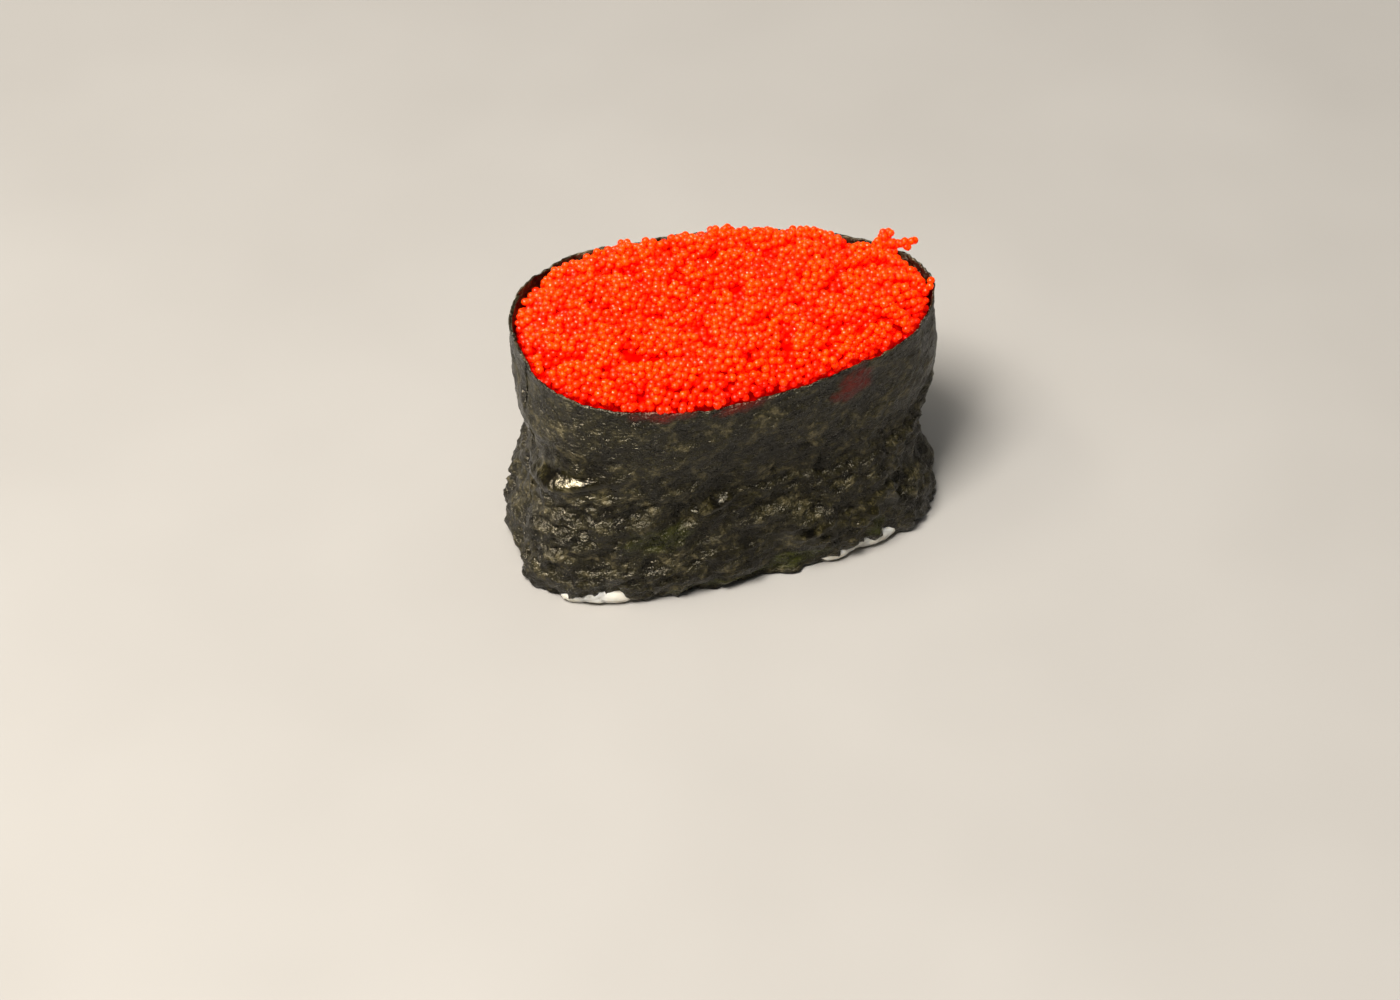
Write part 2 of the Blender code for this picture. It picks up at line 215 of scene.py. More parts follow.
def add(tree, kind, inputs=None, stops=(), **settings):
    """Adds a node. An input is a value, or another node's output to link. Stops fill a colour ramp."""
    made = tree.nodes.new(kind)
    for name, value in settings.items():
        setattr(made, name, value)
    for index, (place, colour) in enumerate(stops):
        if index >= len(made.color_ramp.elements):
            made.color_ramp.elements.new(1.0)
        made.color_ramp.elements[index].position = place
        made.color_ramp.elements[index].color = colour
    for name, value in (inputs or {}).items():
        if isinstance(value, bpy.types.NodeSocket):
            tree.links.new(value, made.inputs[name])
        else:
            made.inputs[name].default_value = value
    return made


def empty_material(name):
    """A material with an empty tree, and the Object coordinates that its patterns read."""
    made = bpy.data.materials.new(name)
    made.use_nodes = True
    made.node_tree.nodes.clear()
    place = add(made.node_tree, "ShaderNodeTexCoord").outputs["Object"]
    return made, made.node_tree, place


# %% [markdown]
# Nori is red algae, shredded, pressed and dried to a paper-like felt, then toasted. It eats light:
# nearly black, with olive and brown mottling a few millimetres across from the uneven felt. Damped
# by rice and roe its skin turns half-glossy, and the fine fibres in it break each reflection into
# small grey flecks. Three noises draw this: a slow one for the mottling, a finer one for the flecks
# and a drawn-out one for the fibres. The flecks are bumps, and the lightest grey of the colour is
# partly painted sheen: grey flecks of reflection painted into the colour where mottling and flecks
# are highest.

# %% Seaweed colours and sizes
NORI_BLACK = linear("#020100")
NORI_BROWN = linear("#100d04")
NORI_OLIVE = linear("#1d1a08")
# The lightest seaweed colour is partly the felt's lighter tone and partly painted sheen: grey flecks of
# reflection painted into the colour.
NORI_GREY_AND_SHEEN = linear("#564e36")
JUICE_RED = linear("#520602")
NORI_SHEEN = linear("#fff9e4")  # the skin of the felt gives back a warm light
DAMP_GREEN = linear("#34380a")
MOTTLE_SIZE = 3.0 * MM
FLECK_SIZE = 1.1 * MM
FIBRE_SIZE = 0.42 * MM  # real fibres are finer, and this is as coarse as they need to be to show
FLECK_HEIGHT = 0.7 * MM
FIBRE_HEIGHT = 0.32 * MM
FLECK_SHARE = 0.8  # how much the flecks count in the tone beside the mottling
FIBRE_TILT = 0.45  # the turn of the fibres, in radians
FIBRE_STRETCH = (0.4, 0.4, 1.0)
NORI_IOR = 1.38
SMOOTH_FELT = 0.20  # roughness where the felt is damp and pressed
ROUGH_FELT = 0.42
OPEN_FELT_RELIEF = 0.9  # strength of the bumps
PRESSED_FELT_RELIEF = 0.25
print("the mottling is", round(MOTTLE_SIZE / FLECK_SIZE, 1), "times as wide as the flecks")


# %% Seaweed material
def make_nori_material():
    made, tree, place = empty_material("damp_toasted_nori")
    mottle = add(
        tree,
        "ShaderNodeTexNoise",
        {"Vector": place, "Scale": 1 / MOTTLE_SIZE, "Detail": 6.0, "Roughness": 0.72, "Distortion": 0.4},
    ).outputs["Fac"]
    fleck = add(
        tree,
        "ShaderNodeTexNoise",
        {"Vector": place, "Scale": 1 / FLECK_SIZE, "Detail": 4.0, "Roughness": 0.68, "Distortion": 0.3},
    ).outputs["Fac"]
    drawn = add(
        tree,
        "ShaderNodeMapping",
        {"Vector": place, "Rotation": (0.0, FIBRE_TILT, 0.0), "Scale": FIBRE_STRETCH},
    ).outputs["Vector"]
    fibre = add(
        tree, "ShaderNodeTexNoise", {"Vector": drawn, "Scale": 1 / FIBRE_SIZE, "Detail": 2.0}
    ).outputs["Fac"]
    felt = add(
        tree, "ShaderNodeMath", {0: fleck, 1: FLECK_SHARE, 2: mottle}, operation="MULTIPLY_ADD"
    ).outputs[0]
    mean = add(tree, "ShaderNodeMath", {0: felt, 1: 1 + FLECK_SHARE}, operation="DIVIDE").outputs[0]
    # The ramp's lightest grey is partly painted sheen, where flecks and mottling are highest.
    tone = add(
        tree,
        "ShaderNodeValToRGB",
        {"Fac": mean},
        stops=((0.42, NORI_BLACK), (0.475, NORI_BROWN), (0.53, NORI_OLIVE), (0.63, NORI_GREY_AND_SHEEN)),
    ).outputs["Color"]
    damp = add(tree, "ShaderNodeAttribute", attribute_name="damp").outputs["Fac"]
    juice = add(tree, "ShaderNodeAttribute", attribute_name="juice").outputs["Fac"]
    greened = add(
        tree, "ShaderNodeMix", {0: damp, 6: tone, 7: DAMP_GREEN}, data_type="RGBA"
    ).outputs[2]
    stained = add(
        tree, "ShaderNodeMix", {0: juice, 6: greened, 7: JUICE_RED}, data_type="RGBA"
    ).outputs[2]
    dry = add(
        tree,
        "ShaderNodeMapRange",
        {"Value": mottle, "From Min": 0.35, "From Max": 0.65, "To Min": SMOOTH_FELT, "To Max": ROUGH_FELT},
    ).outputs["Result"]
    gloss = add(tree, "ShaderNodeAttribute", attribute_name="gloss").outputs["Fac"]
    rough = add(
        tree, "ShaderNodeMix", {0: gloss, 2: dry, 3: SMOOTH_FELT}, data_type="FLOAT"
    ).outputs[0]
    felted = add(
        tree,
        "ShaderNodeMapRange",
        {"Value": gloss, "To Min": OPEN_FELT_RELIEF, "To Max": PRESSED_FELT_RELIEF},
    ).outputs["Result"]
    fibres = add(
        tree, "ShaderNodeBump", {"Height": fibre, "Distance": FIBRE_HEIGHT, "Strength": felted}
    ).outputs["Normal"]
    flecks = add(
        tree,
        "ShaderNodeBump",
        {"Height": fleck, "Distance": FLECK_HEIGHT, "Strength": felted, "Normal": fibres},
    ).outputs["Normal"]
    look = {
        "Base Color": stained,
        "Roughness": rough,
        "Normal": flecks,
        "IOR": NORI_IOR,
        "Specular Tint": NORI_SHEEN,
    }
    shader = add(tree, "ShaderNodeBsdfPrincipled", look).outputs["BSDF"]
    add(tree, "ShaderNodeOutputMaterial", {"Surface": shader})
    return made


NORI = make_nori_material()
print("made", NORI.name, "with", len(NORI.node_tree.nodes), "nodes")

# %% [markdown]
# Smelt roe is tiny capelin eggs, cured and dyed. Each is a thin clear skin round coloured jelly, so
# light enters it, scatters and leaves orange, and it leaves red where it has passed through several
# eggs. Subsurface scattering gives that glow. The depth of an egg in the heap is kept with its mesh,
# and painted shade and light follow from it: eggs in pits are painted deep red, and eggs on top a lit
# amber. Red light wanders from egg to egg far more often than a renderer follows, so a painted red
# glow, a weak emission, stands for the part that it loses and keeps the gaps red. The skin is wet,
# so its coat gives every egg one small sharp glint of the lamp.

# %% Roe colours and sizes
# The four egg colours are a ramp of painted shade and light: deep red for eggs in pits, amber for eggs
# standing free on top.
ROE_PAINTED_PIT_SHADE = linear("#dc0600")
ROE_RED = linear("#f01600")
ROE_ORANGE = linear("#ff2600")
ROE_PAINTED_TOP_LIGHT = linear("#ff3d00")
# The core's deep reds are painted shade: the eggs below the top layers get a darker red than those on top.
ROE_CORE_SHADE_DARK = linear("#980000")
ROE_CORE_SHADE_MID = linear("#b80600")
EGG_SCATTER = 1.8 * MM
SCATTER_RED_GREEN_BLUE = (1.0, 0.45, 0.08)
# Painted glow: the roe emits a weak red light, standing in for light scattered from egg to egg.
ROE_PAINTED_GLOW = (1.0, 0.0, 0.0, 1.0)
EGG_PAINTED_GLOW = 0.18
CORE_PAINTED_GLOW = 0.16
EGG_SIZE_SHOWN = 0.95 * MM
EGG_IOR = 1.36
print("light goes", round(EGG_SCATTER / EGG_SIZE_SHOWN, 1), "eggs deep")


# %% Egg material
def make_egg_material():
    made, tree, _ = empty_material("wet_smelt_roe")
    painted_shade_and_tone = add(tree, "ShaderNodeAttribute", attribute_name="painted_shade_and_tone").outputs["Fac"]
    # Painted shade and light: eggs deep in pits are painted deep red, eggs on top a lit amber.
    colour = add(
        tree,
        "ShaderNodeValToRGB",
        {"Fac": painted_shade_and_tone},
        stops=((0.0, ROE_PAINTED_PIT_SHADE), (0.35, ROE_RED), (0.75, ROE_ORANGE), (1.0, ROE_PAINTED_TOP_LIGHT)),
    ).outputs["Color"]
    look = {
        "Base Color": colour,
        "Roughness": 0.3,
        "IOR": EGG_IOR,
        "Specular IOR Level": 0.1,
        "Coat Weight": 0.13,
        "Coat Roughness": 0.10,
        "Coat IOR": 1.5,
        # Painted glow: a weak red emission keeps the gaps between eggs red.
        "Emission Color": ROE_PAINTED_GLOW,
        "Emission Strength": EGG_PAINTED_GLOW,
        "Subsurface Weight": 1.0,
        "Subsurface Scale": EGG_SCATTER,
        "Subsurface Radius": SCATTER_RED_GREEN_BLUE,
    }
    shader = add(tree, "ShaderNodeBsdfPrincipled", look).outputs["BSDF"]
    add(tree, "ShaderNodeOutputMaterial", {"Surface": shader})
    return made


EGG = make_egg_material()
print("made", EGG.name, "with", len(EGG.node_tree.nodes), "nodes")


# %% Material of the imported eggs
def make_core_shade_material():
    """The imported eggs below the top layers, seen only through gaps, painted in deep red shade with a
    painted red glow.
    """
    made, tree, place = empty_material("packed_smelt_roe_painted_shade")
    patch = add(
        tree, "ShaderNodeTexNoise", {"Vector": place, "Scale": 1 / EGG_SIZE_SHOWN, "Detail": 1.0}
    ).outputs["Fac"]
    colour = add(
        tree, "ShaderNodeValToRGB", {"Fac": patch}, stops=((0.35, ROE_CORE_SHADE_DARK), (0.65, ROE_CORE_SHADE_MID))
    ).outputs["Color"]
    look = {
        "Base Color": colour,
        "Roughness": 0.5,
        "Specular IOR Level": 0.0,
        # Painted glow: a weak red emission.
        "Emission Color": ROE_PAINTED_GLOW,
        "Emission Strength": CORE_PAINTED_GLOW,
    }
    shader = add(tree, "ShaderNodeBsdfPrincipled", look).outputs["BSDF"]
    add(tree, "ShaderNodeOutputMaterial", {"Surface": shader})
    return made


SHADED_CORE_MATERIAL = make_core_shade_material()
print("made", SHADED_CORE_MATERIAL.name, "with", len(SHADED_CORE_MATERIAL.node_tree.nodes), "nodes")

# %% [markdown]
# Cooked sushi rice is milky: white, a little see-through at its thin ends, and glazed by its own
# starch, so it has a soft shine. Fine starch grain on the skin keeps it from looking like plastic.

# %% Rice material
RICE_WHITE = linear("#dedace")
RICE_SHADE = linear("#c6c0b0")
RICE_SCATTER = 0.9 * MM
RICE_PATCH = 2.4 * MM
STARCH_GRAIN = 0.45 * MM
STARCH_HEIGHT = 0.04 * MM
RICE_IOR = 1.42


def make_rice_material():
    made, tree, place = empty_material("cooked_sushi_rice")
    patch = add(
        tree, "ShaderNodeTexNoise", {"Vector": place, "Scale": 1 / RICE_PATCH, "Detail": 2.0}
    ).outputs["Fac"]
    colour = add(
        tree, "ShaderNodeValToRGB", {"Fac": patch}, stops=((0.35, RICE_SHADE), (0.62, RICE_WHITE))
    ).outputs["Color"]
    starch = add(
        tree, "ShaderNodeTexNoise", {"Vector": place, "Scale": 1 / STARCH_GRAIN, "Detail": 2.0}
    ).outputs["Fac"]
    skin = add(
        tree, "ShaderNodeBump", {"Height": starch, "Distance": STARCH_HEIGHT}
    ).outputs["Normal"]
    look = {
        "Base Color": colour,
        "Roughness": 0.33,
        "IOR": RICE_IOR,
        "Subsurface Weight": 0.45,
        "Subsurface Scale": RICE_SCATTER,
        "Subsurface Radius": (1.0, 0.85, 0.65),
        "Normal": skin,
    }
    shader = add(tree, "ShaderNodeBsdfPrincipled", look).outputs["BSDF"]
    add(tree, "ShaderNodeOutputMaterial", {"Surface": shader})
    return made


RICE = make_rice_material()
print("made", RICE.name, "with", len(RICE.node_tree.nodes), "nodes")

# %% [markdown]
# Every finished piece goes through one function. It makes the object at the origin, gives it its
# material, rides it on the one body, and hides the CAD node that it stands for.

# %% Finish a piece
def finish_piece(name, work, material, node):
    """Makes a finished piece of a bmesh."""
    mesh = bpy.data.meshes.new(name)
    work.to_mesh(mesh)
    work.free()
    mesh.materials.append(material)
    mesh.shade_smooth()
    piece = bpy.data.objects.new(name, mesh)
    bpy.context.scene.collection.objects.link(piece)
    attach(piece, "root")
    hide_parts(node)
    print(f"{name}: {len(mesh.polygons)} faces")
    return piece


# %% [markdown]
# The seaweed sheet is the largest thing in the picture. A flat grid is wound once round the rice
# and on over its own start, as the real strip is, and then pushed in and out. Wet sheet crumples
# into sharp ridges between flat facets, so the noise is folded at zero to make ridges. The rice
# grains behind it press it out in round spots, which the distance to the nearest point of a scatter
# gives. It is rough where rice lies behind it and calm beside the roe.

# %% How the sheet crumples
FACET_SIZE = 5.2 * MM
FACET_DEPTH = 0.85 * MM
GRAIN_PITCH = 4.0 * MM  # rice grains press through the wet sheet this far apart
GRAIN_PRESS = 1.0 * MM
GRAIN_LEVEL = 0.42  # this share of the pitch from a grain's middle, it is pressed neither out nor in
CRINKLE_SIZE = 1.7 * MM
CRINKLE_DEPTH = 0.55 * MM
CRINKLE_SHIFT = Vector((0.05, 0, 0))  # so that the crinkles don't follow the facets
DRAW_LONG = 13.0 * MM
DRAW_WIDE = 1.7 * MM
DRAW_DEPTH = 0.20 * MM
DRAW_TILT = math.radians(24)
DRAW_CUT = 7.0  # where the noise for the drawn lines is cut
SHEET_RUN = RIM_HALF_WIDTH * 1.4  # sheet per radian, on the long sides
CALM = 0.25  # the share of the crumpling that is left beside the roe
RICE_TOP_SHARE = RICE_TOP / BAND_HEIGHT
CALM_START = 0.12  # it begins to calm this share of the height below the top of the rice
CALM_RUN = 0.26
RIDGE_SHARPNESS = 2.6
SHELF_SPREAD = math.radians(20)
SHELF_HEIGHT = 18.9 * MM
SHELF_WIDTH = 1.6 * MM
SHELF_CALM = 0.75  # the shelf over the shoulder is pressed this much smoother


def ridges(point, size):
    """Noise folded at zero: 1 along sharp crests and near 0 between them."""
    return 1 - min(1.0, abs(noise.noise(point / size)) * RIDGE_SHARPNESS)


def crumple(angle, share, point):
    """How far the crumpled sheet stands out of the smooth band."""
    wet = blend(CALM, 1.0, 1 - smooth_step((share - RICE_TOP_SHARE + CALM_START) / CALM_RUN))
    facets = FACET_DEPTH * (ridges(point, FACET_SIZE) - 0.5)
    nearest = noise.voronoi(point / GRAIN_PITCH)[0][0]
    pressed = GRAIN_PRESS * (GRAIN_LEVEL - nearest)
    crinkles = CRINKLE_DEPTH * (ridges(point + CRINKLE_SHIFT, CRINKLE_SIZE) - 0.5)
    run = angle * SHEET_RUN
    along = run * math.cos(DRAW_TILT) + point.z * math.sin(DRAW_TILT)
    across = point.z * math.cos(DRAW_TILT) - run * math.sin(DRAW_TILT)
    drawn = DRAW_DEPTH * noise.noise(Vector((along / DRAW_LONG, across / DRAW_WIDE, DRAW_CUT)))
    shelf = bump(angle_between(angle, LEDGE_ANGLE), 0, SHELF_SPREAD)
    shelf *= bump(point.z, SHELF_HEIGHT, SHELF_WIDTH)
    return (facets + pressed + crinkles) * wet * (1 - SHELF_CALM * shelf) + drawn


FRONT = 1.5 * math.pi
SHARES = [level / (MEASURE_LEVELS - 1) for level in range(MEASURE_LEVELS)]
front = [crumple(FRONT, share, side_point(FRONT, share)) for share in SHARES]
print("up the front it stands out by, mm:", round(min(front) / MM, 2), "to", round(max(front) / MM, 2))

# %% [markdown]
# Some folds are worth placing one by one, because they give this piece its character: the shelf
# over the rice's shoulder at the -X end with the hollow under it, the notch and the pinch where the
# sheet is drawn in at both ends, and a few small lips on the front that catch the light. Each is a
# short ridge or groove on the unrolled sheet.

# %% The folds that are placed one by one
# Each row: angle and half-length in degrees, height and half-width in mm, climb in mm per degree,
# and outward in mm.
FOLDS = (
    (212, 20, 18.5, 0.80, 0.075, 1.55),  # the lip of the shelf
    (212, 18, 21.6, 1.6, 0.075, -0.45),  # the sheet drawn in over it
    (212, 15, 15.2, 1.2, -0.03, -0.95),  # the hollow under it
    (197, 13, 16.9, 0.55, -0.07, 0.40),  # the strip pressed between the two
    (181, 14, 18.3, 1.3, 0.0, -0.85),  # the notch at the -X end
    (208, 14, 12.6, 0.7, 0.04, 0.40),  # the flap below
    (218, 7, 9.0, 0.5, 0.12, -0.30),
    (328, 24, 10.4, 1.3, 0.01, -0.65),  # the pinch at the +X end
    (328, 22, 5.6, 2.2, 0.0, 0.45),
    (343, 32, 9.0, 6.5, 0.0, -2.90),  # the squeezed foot there
    (343, 26, 22.0, 5.0, 0.0, 0.70),  # and the slack sheet above it
    (295, 16, 0.5, 4.0, 0.0, -1.10),
    (174, 24, 12.0, 6.5, 0.0, -2.00),  # the sheet drawn in at the -X end
    (190, 24, 31.5, 5.0, 0.0, -0.40),  # where the rim leans in too
    (266, 3.5, 14.3, 0.6, 0.20, 0.60),
    (279, 4.5, 6.6, 0.6, 0.18, 0.65),
    (246, 3.5, 11.8, 0.6, 0.22, 0.60),
    (285, 14, 20.8, 0.6, 0.19, 0.38),  # the two long folds drawn up to the right
    (300, 17, 14.6, 0.6, 0.03, 0.36),
    (290, 5, 9.0, 0.6, 0.10, -0.30),
    (258, 6, 8.2, 0.6, -0.12, 0.25),
    (233, 6, 23.6, 0.6, 0.20, -0.20),
    (298, 7, 7.0, 0.7, 0.20, 0.55),
    (240, 5, 5.4, 0.6, 0.1, 0.25),
    (312, 7, 8.6, 0.6, -0.1, 0.25),
    (20, 16, 13.0, 1.0, 0.04, -0.5),
    (95, 20, 15.5, 0.9, -0.03, -0.4),
    (75, 12, 9.0, 0.8, 0.08, 0.35),
    (130, 14, 12.0, 0.9, 0.05, 0.4),
)
FOLD_REACH = 2.5  # a fold is felt this many half-lengths from its middle


def placed_folds(angle, height):
    """How far the folds stand out at a point of the unrolled sheet."""
    total = 0.0
    for middle, reach, level, width, climb, outward in FOLDS:
        off = math.degrees(angle) - middle
        off -= 360 * round(off / 360)
        if abs(off) < FOLD_REACH * reach:
            rise = (height / MM - level - climb * off) / width
            total += outward * MM * bump(off, 0, reach) * math.exp(-rise * rise)
    return total


print("folds placed by hand:", len(FOLDS))

# %% [markdown]
# Damp, juice and gloss are marked on the sheet as attributes, which the material reads. Roe juice
# has run over the rim in a few places, the hem is wet and shows green where it lies thin over the
# rice, and where hands have pressed the sheet on wet rice it has gone smooth and shines.

# %% Stains on the sheet
# Each row: angle in degrees, height in mm, half-length and half-height in mm, strength.
JUICE_MARKS = (
    (296.5, 28.6, 1.5, 1.7, 1.0),
    (292.5, 27.4, 1.1, 0.9, 0.9),
    (245, 31.3, 2.6, 0.7, 0.9),
    (266, 30.4, 1.6, 0.6, 0.8),
)
DAMP_MARKS = (
    (278, 2.6, 1.6, 1.0, 0.8),
    (301, 4.0, 1.3, 1.0, 0.8),
    (270, 1.4, 3.0, 0.5, 0.5),
    (254, 10.6, 2.2, 1.6, 0.45),
    (85, 3.0, 2.0, 1.0, 0.6),
)
GLOSS_MARKS = (
    (203, 18.2, 4.5, 1.5, 1.0),
    (220, 19.4, 5.0, 1.5, 1.0),
    (266, 14.3, 2.0, 1.0, 0.7),
    (279, 6.5, 3.0, 1.4, 0.9),
    (300, 8.0, 4.0, 2.0, 0.7),
    (246, 11.8, 2.0, 1.0, 0.6),
    (262, 2.2, 3.0, 1.0, 0.6),
)
MARK_RUN = 19.0  # mm of sheet per radian, where the marks are
MARK_EDGE = 1.6  # a mark ends this many half-lengths from its middle
TEAR_DEPTH = 0.6  # give or take this many, which tears its outline
TEAR_SIZE = 0.9 * MM


def marked(marks, angle, point):
    """0 to 1: how much of a mark there is at a point of the sheet, with a torn outline."""
    best = 0.0
    for middle, level, length, height, strength in marks:
        off = angle_between(angle, math.radians(middle)) * MARK_RUN / length
        rise = (point.z / MM - level) / height
        torn = TEAR_DEPTH * noise.noise(point / TEAR_SIZE)
        best = max(best, strength * smooth_step(MARK_EDGE - math.hypot(off, rise) + torn))
    return best


print("marks of juice, damp and gloss:", len(JUICE_MARKS), len(DAMP_MARKS), len(GLOSS_MARKS))

# %% [markdown]
# The strip is cut by hand and pressed on by hand, so its edges waver. The hem lifts in a few
# places, and there the rice shows. The strip's damp end has fused to the layer under it. The eggs
# and the rice need to know how far in the sheet comes near them, so two functions give its stand at
# a place and the deepest stand round it.

# %% Edges of the sheet
SHEET_COLUMNS = 400
SHEET_ROWS = 94
SHEET_THICKNESS = 0.20 * MM
LAYER_GAP = 0.02 * MM
END_SINK = 0.14 * MM  # the damp end of the strip has fused to the layer under it
END_RUN = math.radians(5)
EDGE_HEIGHT = 0.35 * MM
EDGE_WAVE = 0.35 * MM
EDGE_WAVES = 5
HEM_NIBBLE = 0.35 * MM
HEM_NIBBLES = 17  # how fine the hem's unevenness is: cells of noise per radian
# Where the hem lifts: angle and spread in degrees, and lift in mm.
RICE_GAPS = ((239, 11, 1.3), (293, 6, 1.6), (305, 3, 2.0), (118, 9, 1.1))
RIM_WAVE = 0.6 * MM
RIM_WAVES = 2.2
RIM_NIBBLE = 0.25 * MM
RIM_NIBBLES = 26
RIM_CUT = 3.0  # where the noise for the rim is cut, away from the hem's
LOOK_ALONG = (-1, -0.5, 0, 0.5, 1)  # where the deepest stand is looked for: shares of an arc
LOOK_UP = (-1, 0, 1)  # and of a height


def hem_height(angle):
    """The height of the band's lower edge above what it stands on."""
    around = Vector((math.cos(angle), math.sin(angle), 0))
    lift = sum(
        rise * MM * bump(angle_between(angle, math.radians(middle)), 0.0, math.radians(spread))
        for middle, spread, rise in RICE_GAPS
    )
    wave = EDGE_WAVE * (1 + math.sin(EDGE_WAVES * angle)) / 2
    return EDGE_HEIGHT + wave + lift + HEM_NIBBLE * noise.noise(around * HEM_NIBBLES)


def rim_share(angle):
    """The share of the plain band's height where the sheet ends, a little uneven."""
    around = Vector((math.cos(angle), math.sin(angle), RIM_CUT))
    wave = RIM_WAVE * noise.noise(around * RIM_WAVES)
    nibble = RIM_NIBBLE * noise.noise(around * RIM_NIBBLES)
    return 1.0 + (wave + nibble) / BAND_HEIGHT


def layer_climb(angle):
    """The outer end of the strip lies tight on the inner one."""
    climb = (angle - (LAST_ANGLE - SEAM_OVERLAP - SEAM_RAMP)) / SEAM_RAMP
    sink = (angle - (LAST_ANGLE - END_RUN)) / END_RUN
    return (SHEET_THICKNESS + LAYER_GAP) * smooth_step(climb) - END_SINK * smooth_step(sink)


def sheet_stand(angle, share):
    """How far the sheet's inner face stands out of the smooth band at a place on it."""
    point = side_point(angle, share)
    return crumple(angle, share, point) + placed_folds(angle, point.z)


def deepest_stand(angle, share, beside, above):
    """The lowest stand of the sheet within an arc and a height of a place, and 0 at most."""
    around = [
        sheet_stand(angle + step * beside / RIM_HALF_WIDTH, share + rise * above / BAND_HEIGHT)
        for step in LOOK_ALONG
        for rise in LOOK_UP
    ]
    return min(0.0, *around)


print("the hem is highest at, mm:", round(max(hem_height(math.radians(a)) for a in range(360)) / MM, 2))


# %% The sheet
def make_sheet():
    """A grid wound round the rice, with its juice, damp and gloss kept at its points."""
    work = bmesh.new()
    juice = work.verts.layers.float.new("juice")
    damp = work.verts.layers.float.new("damp")
    gloss = work.verts.layers.float.new("gloss")
    bmesh.ops.create_grid(work, x_segments=SHEET_COLUMNS, y_segments=SHEET_ROWS, size=0.5)
    for vertex in work.verts:
        angle = blend(FIRST_ANGLE, LAST_ANGLE, vertex.co.x + 0.5)
        share = blend(hem_height(angle) / BAND_HEIGHT, rim_share(angle), vertex.co.y + 0.5)
        point = side_point(angle, share)
        out = SHEET_ROOM - SHEET_THICKNESS + layer_climb(angle) + sheet_stand(angle, share)
        vertex.co = side_point(angle, share, out)
        vertex[juice] = marked(JUICE_MARKS, angle, point)
        vertex[damp] = marked(DAMP_MARKS, angle, point)
        vertex[gloss] = marked(GLOSS_MARKS, angle, point)
    outward = sum(f.normal.to_2d().dot(f.calc_center_median().to_2d()) for f in work.faces)
    if outward < 0:
        bmesh.ops.reverse_faces(work, faces=work.faces)
    sheet = finish_piece("nori_sheet", work, NORI, "nori_band")
    wall = sheet.modifiers.new("Sheet", "SOLIDIFY")
    wall.thickness = SHEET_THICKNESS
    wall.offset = 1.0
    return sheet


make_sheet()

# %% [markdown]
# The heap of roe is built as it would settle. Its intended height is a low dome, full at the front
# and sunk in two corners, with lumps where the spoon dropped it and narrow pits between them.

# %% The heap's intended height
DOME_HEIGHT = 4.0 * MM
SHOULDER_POWER = 7.0
# Each dip beside the wall: angle in degrees, spread in radians, depth in mm.
DIPS = ((16, 0.33, 1.7), (37, 0.11, 1.8), (138, 0.36, 1.7), (104, 0.06, 1.2), (190, 0.30, 0.6))
# Each swell beside the wall, in the same way.
SWELLS = ((262, 0.75, 0.9), (84, 0.10, 0.9), (275, 0.16, 0.7))
LUMP_DEPTH = 0.55 * MM
LUMP_SIZE = 5.0 * MM
LUMP_OCTAVES = 3
LUMP_FADE = 0.8  # how fast the finer octaves fade
LUMP_STEP = 2.0  # how much finer each is
SWELL_POWER = 8  # how close to the wall a swell keeps
DIP_POWER = 6
CLOT_SIZE = 2.8 * MM
CLOT_HEIGHT = 0.9 * MM
CLOT_CUT = 5 * MM  # clots and pits are cut from the noise at different heights
PIT_CUT = 90 * MM
PIT_SIZE = 3.0 * MM
PIT_DEPTH = 1.5 * MM
PIT_START = 0.10
PIT_END = 0.42
RIM_TABLE_STEPS = 720
REACH_STEPS = 240
WALL_ZONE = 1.4 * MM  # half the height over which the wall is felt for
WALL_LOOK = 0.5 * MM  # and half the arc


def rim_point(angle, outward=0.0):
    """A point of the folded sheet's inner face at its rim, in the part's own frame."""
    fold = deepest_stand(angle, 1.0 - WALL_ZONE / BAND_HEIGHT, WALL_LOOK, WALL_ZONE)
    return form_point(angle, 1.0, fold + outward)


RIM_TABLE = [
    rim_point(2 * math.pi * step / RIM_TABLE_STEPS).to_2d() for step in range(RIM_TABLE_STEPS)
]


def bearing(x, y):
    """The direction of a place from the middle of the rim's oval, and its row in the table of reaches."""
    angle = math.atan2((y - RIM_SHIFT_Y) / RIM_HALF_WIDTH, x / RIM_HALF_LENGTH)
    return angle, round(angle / (2 * math.pi) * REACH_STEPS) % REACH_STEPS


REACH_TABLE = [0.0] * REACH_STEPS
for edge in RIM_TABLE:
    REACH_TABLE[bearing(*edge)[1]] = math.hypot(edge.x, edge.y - RIM_SHIFT_Y)
print("directions without a reach:", REACH_TABLE.count(0.0))


def centre_share(x, y):
    """The share of the way out to the band's inner face, the angle, and the way left to that face."""
    angle, row = bearing(x, y)
    reach = REACH_TABLE[row]
    out = math.hypot(x, y - RIM_SHIFT_Y)
    return out / reach, angle, reach - out


def beside_wall(features, angle):
    """The sum of dips or swells at an angle."""
    return sum(
        amount * MM * bump(angle_between(angle, math.radians(middle)), 0.0, spread)
        for middle, spread, amount in features
    )


def smooth_heap(x, y):
    """The heap's height without clots and pits, in the part's own frame."""
    out, angle, _ = centre_share(x, y)
    out = min(1.0, out)
    dome = DOME_HEIGHT * (1 - out**SHOULDER_POWER)
    edge = out**SWELL_POWER * beside_wall(SWELLS, angle) - out**DIP_POWER * beside_wall(DIPS, angle)
    spot = Vector((x, y, 0)) / LUMP_SIZE
    lumps = LUMP_DEPTH * noise.fractal(spot, LUMP_FADE, LUMP_STEP, LUMP_OCTAVES)
    return rim_height(x) + dome + edge + lumps


